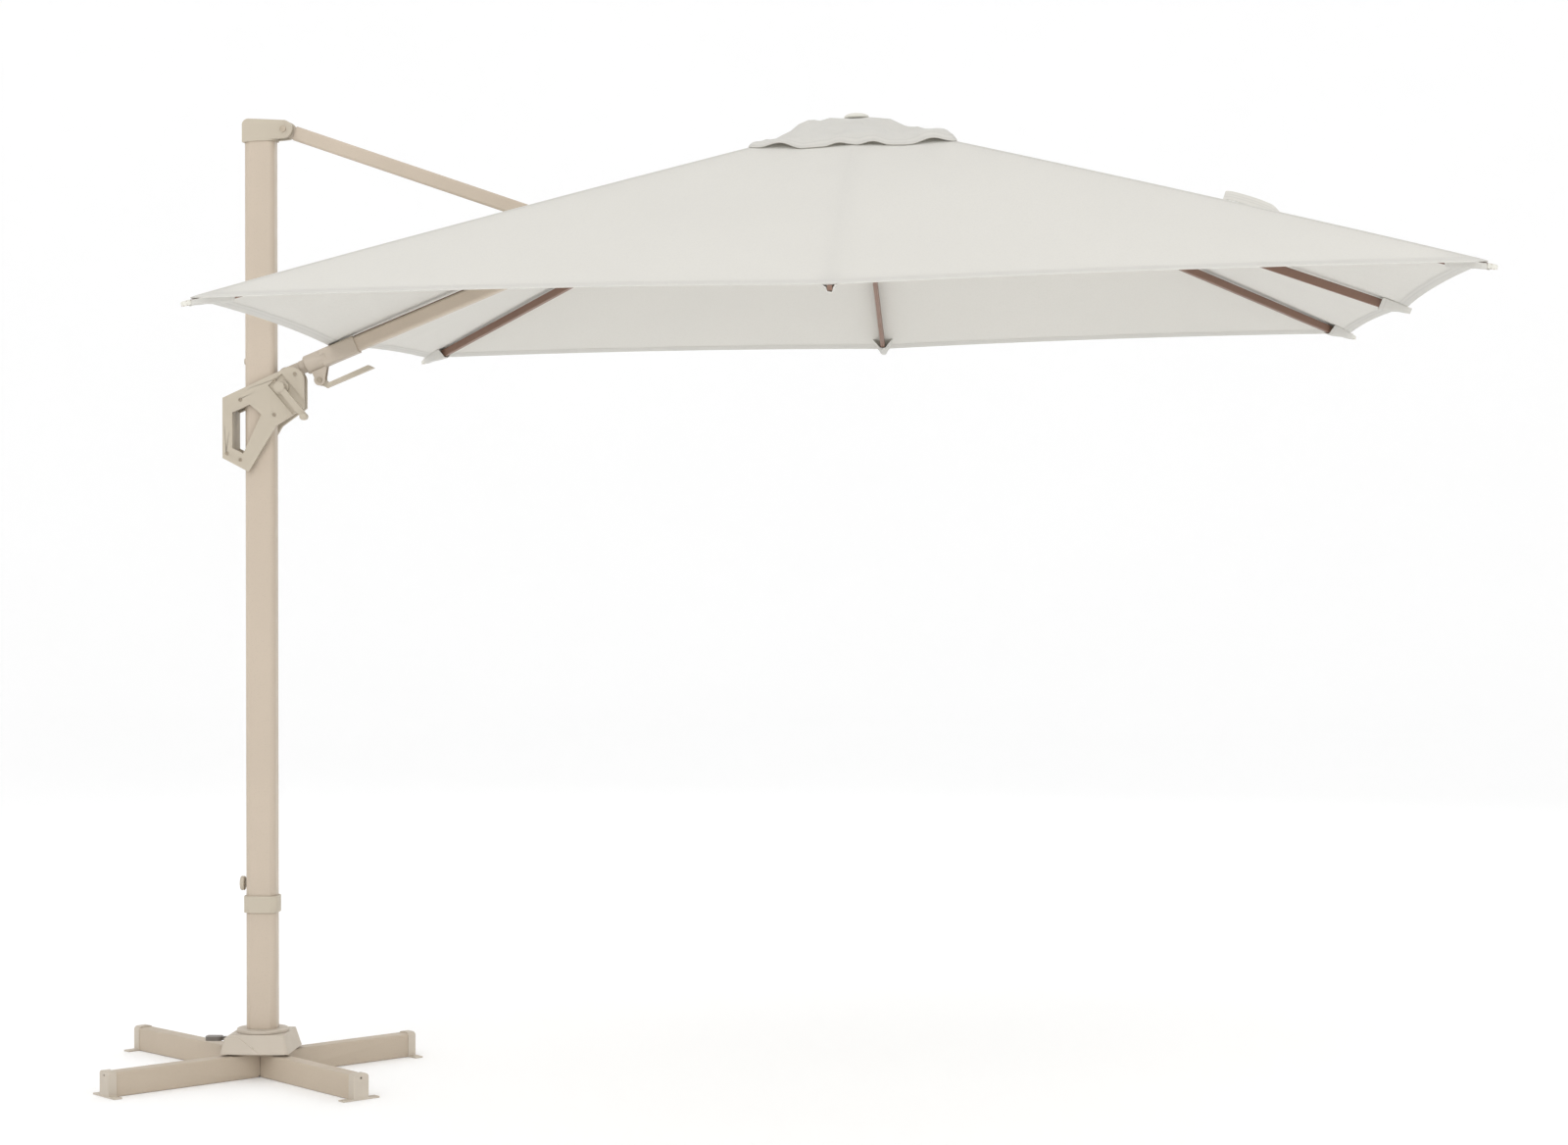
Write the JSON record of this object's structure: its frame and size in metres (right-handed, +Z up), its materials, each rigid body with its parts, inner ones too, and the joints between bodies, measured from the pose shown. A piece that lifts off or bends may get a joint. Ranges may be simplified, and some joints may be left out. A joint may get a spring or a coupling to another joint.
{
  "type": "cantilever parasol",
  "caption": "Square off-white cantilever parasol with a vent cap, hung from a strut and arm on a swivelling mast with a crank carriage, on a cross base.",
  "frame": {"origin": "on the floor, under the middle of the mast, on the underside of the base's centre beam", "axes": "+X from the mast out along the arm and the canopy, +Y towards the far side, +Z up"},
  "size_m": [3.7153, 3.0422, 2.6926],
  "materials": {
    "steel_beam": "powder-coated, fine satin texture",
    "coated_tube": "powder-coated, fine satin texture",
    "coated_casting": "powder-coated, fine satin texture",
    "rib_tube": "powder-coated, taupe",
    "cover_plastic": "matt moulded",
    "moulded_plastic": "fine moulded grain",
    "fabric_plastic": "fine moulded grain",
    "pedal_grey": "grey, worn on the tread",
    "zinc": "zinc plated",
    "canopy_fabric": "plain woven polyester"
  },
  "bodies": {
    "base": {"centre_beam": "steel_beam", "side_beams": "steel_beam", "beam_feet": "cover_plastic", "base_plate": "steel_beam", "base_bolts": "zinc", "base_cover": "cover_plastic"},
    "pedal": {"foot_pedal": "pedal_grey"},
    "mast": {"swivel_ring": "cover_plastic", "lower_pole": "coated_tube", "mast_collar": "moulded_plastic", "mast_tube": "coated_tube", "stop_stud": "moulded_plastic", "mast_cap": "moulded_plastic", "strut_pin": "zinc"},
    "lock_knob": {"lock_knob": "moulded_plastic"},
    "strut": {"strut_tube": "coated_tube", "strut_ends": "coated_casting"},
    "cradle": {"arm_collar": "coated_casting", "arm_knuckle": "coated_casting"},
    "arm": {"arm_sleeve": "coated_casting", "lever_pin": "zinc", "arm_tube": "coated_tube", "arm_journal": "moulded_plastic", "arm_end": "coated_casting", "gore_arm": "canopy_fabric"},
    "lever": {"tilt_lever": "moulded_plastic"},
    "carriage": {"carriage_near": "moulded_plastic", "carriage_far": "moulded_plastic", "guide_pads": "moulded_plastic", "carriage_screws": "zinc", "arm_pin": "zinc"},
    "crank": {"rope_drum": "zinc", "crank_arm": "moulded_plastic"},
    "crank_knob": {"crank_knob": "moulded_plastic"},
    "hub": {"top_hub": "moulded_plastic", "hub_pins": "zinc", "finial": "fabric_plastic", "vent_cap": "canopy_fabric"},
    "lower_hub": {"lower_hub": "moulded_plastic"},
    "rib_outer": {"rib_outer": "rib_tube", "gore_outer": "canopy_fabric"},
    "stay_outer": {"stay_outer": "rib_tube"},
    "rib_outer_far": {"rib_outer_far": "rib_tube", "gore_outer_far": "canopy_fabric"},
    "stay_outer_far": {"stay_outer_far": "rib_tube"},
    "rib_far": {"rib_far": "rib_tube", "gore_far": "canopy_fabric"},
    "stay_far": {"stay_far": "rib_tube"},
    "rib_mast_far": {"rib_mast_far": "rib_tube", "gore_mast_far": "canopy_fabric"},
    "stay_mast_far": {"stay_mast_far": "rib_tube"},
    "rib_mast_near": {"rib_mast_near": "rib_tube", "gore_mast_near": "canopy_fabric"},
    "stay_mast_near": {"stay_mast_near": "rib_tube"},
    "rib_near": {"rib_near": "rib_tube", "gore_near": "canopy_fabric"},
    "stay_near": {"stay_near": "rib_tube"},
    "rib_outer_near": {"rib_outer_near": "rib_tube", "gore_outer_near": "canopy_fabric"},
    "stay_outer_near": {"stay_outer_near": "rib_tube"}
  },
  "joints": [
    {"name": "mast_swivel", "type": "hinge", "parent": "base", "child": "mast", "pos_m": [0, 0, 0.13], "axis": [0, 0, 1], "continuous": true},
    {"name": "pedal_press", "type": "hinge", "parent": "base", "child": "pedal", "pos_m": [-0.07, 0.05, 0.095], "axis": [0, 1, 0], "range_deg": [-9, 0], "stiffness_Nm_per_rad": 1.5, "springref_deg": 5.73},
    {"name": "lock_knob_turn", "type": "hinge", "parent": "mast", "child": "lock_knob", "pos_m": [-0.055, 0, 0.541], "axis": [-1, 0, 0], "continuous": true},
    {"name": "canopy_fold", "type": "hinge", "parent": "mast", "child": "strut", "pos_m": [0.07, 0, 2.661], "axis": [0, 1, 0], "range_deg": [0, 55.5], "deforming": ["gore_arm", "vent_cap"]},
    {"name": "strut_to_arm", "type": "hinge", "parent": "strut", "child": "cradle", "pos_m": [0.9786, 0, 2.3481], "axis": [0, 1, 0], "range_deg": [-109.08, 1]},
    {"name": "carriage_pivot", "type": "hinge", "parent": "cradle", "child": "carriage", "pos_m": [0.072, 0, 1.9752], "axis": [0, 1, 0], "range_deg": [-1, 53.58]},
    {"name": "arm_roll", "type": "hinge", "parent": "cradle", "child": "arm", "pos_m": [0.072, 0, 1.9752], "axis": [0.9248, 0, 0.3804], "range_deg": [-15, 15]},
    {"name": "tilt_lever_squeeze", "type": "hinge", "parent": "arm", "child": "lever", "pos_m": [0.1686, 0, 1.9573], "axis": [0, 1, 0], "range_deg": [-9, 0], "stiffness_Nm_per_rad": 1.5, "springref_deg": 5.73},
    {"name": "crank_turn", "type": "hinge", "parent": "carriage", "child": "crank", "pos_m": [0.067, 0, 1.936], "axis": [0, 1, 0], "continuous": true},
    {"name": "crank_knob_spin", "type": "hinge", "parent": "crank", "child": "crank_knob", "pos_m": [0.139, 0, 1.852], "axis": [0, 1, 0], "continuous": true},
    {"name": "hub_level", "type": "hinge", "parent": "arm", "child": "hub", "pos_m": [1.63501, 0, 2.63506], "axis": [0, 1, 0], "range_deg": [-1, 53.58], "deforming": ["vent_cap", "gore_arm"]},
    {"name": "rib_outer_fold", "type": "hinge", "parent": "hub", "child": "rib_outer", "pos_m": [1.72499, 0, 2.63694], "axis": [0, 1, 0], "range_deg": [-1, 59.67], "deforming": ["gore_outer"]},
    {"name": "stay_outer_fold", "type": "hinge", "parent": "rib_outer", "child": "stay_outer", "pos_m": [2.20973, 0, 2.44766], "axis": [0, 1, 0], "range_deg": [-118.39, 1]},
    {"name": "rib_outer_far_fold", "type": "hinge", "parent": "hub", "child": "rib_outer_far", "pos_m": [1.71181, 0.03182, 2.63667], "axis": [-0.707, 0.7071, -0.0148], "range_deg": [-1, 65.65], "deforming": ["gore_outer_far"]},
    {"name": "stay_outer_far_fold", "type": "hinge", "parent": "rib_outer_far", "child": "stay_outer_far", "pos_m": [2.05238, 0.36947, 2.50096], "axis": [-0.707, 0.7071, -0.0148], "range_deg": [-119.5, 1]},
    {"name": "rib_far_fold", "type": "hinge", "parent": "hub", "child": "rib_far", "pos_m": [1.68, 0.045, 2.636], "axis": [-0.9998, 0, -0.0209], "range_deg": [-1, 59.67], "deforming": ["gore_far"]},
    {"name": "stay_far_fold", "type": "hinge", "parent": "rib_far", "child": "stay_far", "pos_m": [1.68418, 0.52567, 2.43665], "axis": [-0.9998, 0, -0.0209], "range_deg": [-118.39, 1]},
    {"name": "rib_mast_far_fold", "type": "hinge", "parent": "hub", "child": "rib_mast_far", "pos_m": [1.64819, 0.03182, 2.63533], "axis": [-0.707, -0.7071, -0.0148], "range_deg": [-1, 65.65], "deforming": ["gore_mast_far"]},
    {"name": "stay_mast_far_fold", "type": "hinge", "parent": "rib_mast_far", "child": "stay_mast_far", "pos_m": [1.31361, 0.36947, 2.48549], "axis": [-0.707, -0.7071, -0.0148], "range_deg": [-119.5, 1]},
    {"name": "rib_mast_near_fold", "type": "hinge", "parent": "hub", "child": "rib_mast_near", "pos_m": [1.64819, -0.03182, 2.63533], "axis": [0.707, -0.7071, 0.0148], "range_deg": [-1, 65.65], "deforming": ["gore_mast_near"]},
    {"name": "stay_mast_near_fold", "type": "hinge", "parent": "rib_mast_near", "child": "stay_mast_near", "pos_m": [1.31361, -0.36947, 2.48549], "axis": [0.707, -0.7071, 0.0148], "range_deg": [-119.5, 1]},
    {"name": "rib_near_fold", "type": "hinge", "parent": "hub", "child": "rib_near", "pos_m": [1.68, -0.045, 2.636], "axis": [0.9998, 0, 0.0209], "range_deg": [-1, 59.67], "deforming": ["gore_near"]},
    {"name": "stay_near_fold", "type": "hinge", "parent": "rib_near", "child": "stay_near", "pos_m": [1.68418, -0.52567, 2.43665], "axis": [0.9998, 0, 0.0209], "range_deg": [-118.39, 1]},
    {"name": "rib_outer_near_fold", "type": "hinge", "parent": "hub", "child": "rib_outer_near", "pos_m": [1.71181, -0.03182, 2.63667], "axis": [0.707, 0.7071, 0.0148], "range_deg": [-1, 65.65], "deforming": ["gore_outer_near"]},
    {"name": "stay_outer_near_fold", "type": "hinge", "parent": "rib_outer_near", "child": "stay_outer_near", "pos_m": [2.05238, -0.36947, 2.50096], "axis": [0.707, 0.7071, 0.0148], "range_deg": [-119.5, 1]},
    {"name": "lower_hub_level", "type": "hinge", "parent": "stay_near", "child": "lower_hub", "pos_m": [1.68834, -0.045, 2.23779], "axis": [0.9998, 0, 0.0209], "range_deg": [-1, 59.72]}
  ],
  "couplings": [
    {"joint": "strut_to_arm", "follows": "canopy_fold", "ratio": -1.9473},
    {"joint": "carriage_pivot", "follows": "canopy_fold", "ratio": 0.9473},
    {"joint": "hub_level", "follows": "canopy_fold", "ratio": 0.9473},
    {"joint": "rib_outer_fold", "follows": "canopy_fold", "ratio": 1.0572},
    {"joint": "stay_outer_fold", "follows": "canopy_fold", "ratio": -2.1152},
    {"joint": "rib_outer_far_fold", "follows": "canopy_fold", "ratio": 1.1649},
    {"joint": "stay_outer_far_fold", "follows": "canopy_fold", "ratio": -2.1351},
    {"joint": "rib_far_fold", "follows": "canopy_fold", "ratio": 1.0572},
    {"joint": "stay_far_fold", "follows": "canopy_fold", "ratio": -2.1152},
    {"joint": "rib_mast_far_fold", "follows": "canopy_fold", "ratio": 1.1649},
    {"joint": "stay_mast_far_fold", "follows": "canopy_fold", "ratio": -2.1351},
    {"joint": "rib_mast_near_fold", "follows": "canopy_fold", "ratio": 1.1649},
    {"joint": "stay_mast_near_fold", "follows": "canopy_fold", "ratio": -2.1351},
    {"joint": "rib_near_fold", "follows": "canopy_fold", "ratio": 1.0572},
    {"joint": "stay_near_fold", "follows": "canopy_fold", "ratio": -2.1152},
    {"joint": "rib_outer_near_fold", "follows": "canopy_fold", "ratio": 1.1649},
    {"joint": "stay_outer_near_fold", "follows": "canopy_fold", "ratio": -2.1351},
    {"joint": "lower_hub_level", "follows": "canopy_fold", "ratio": 1.058}
  ]
}
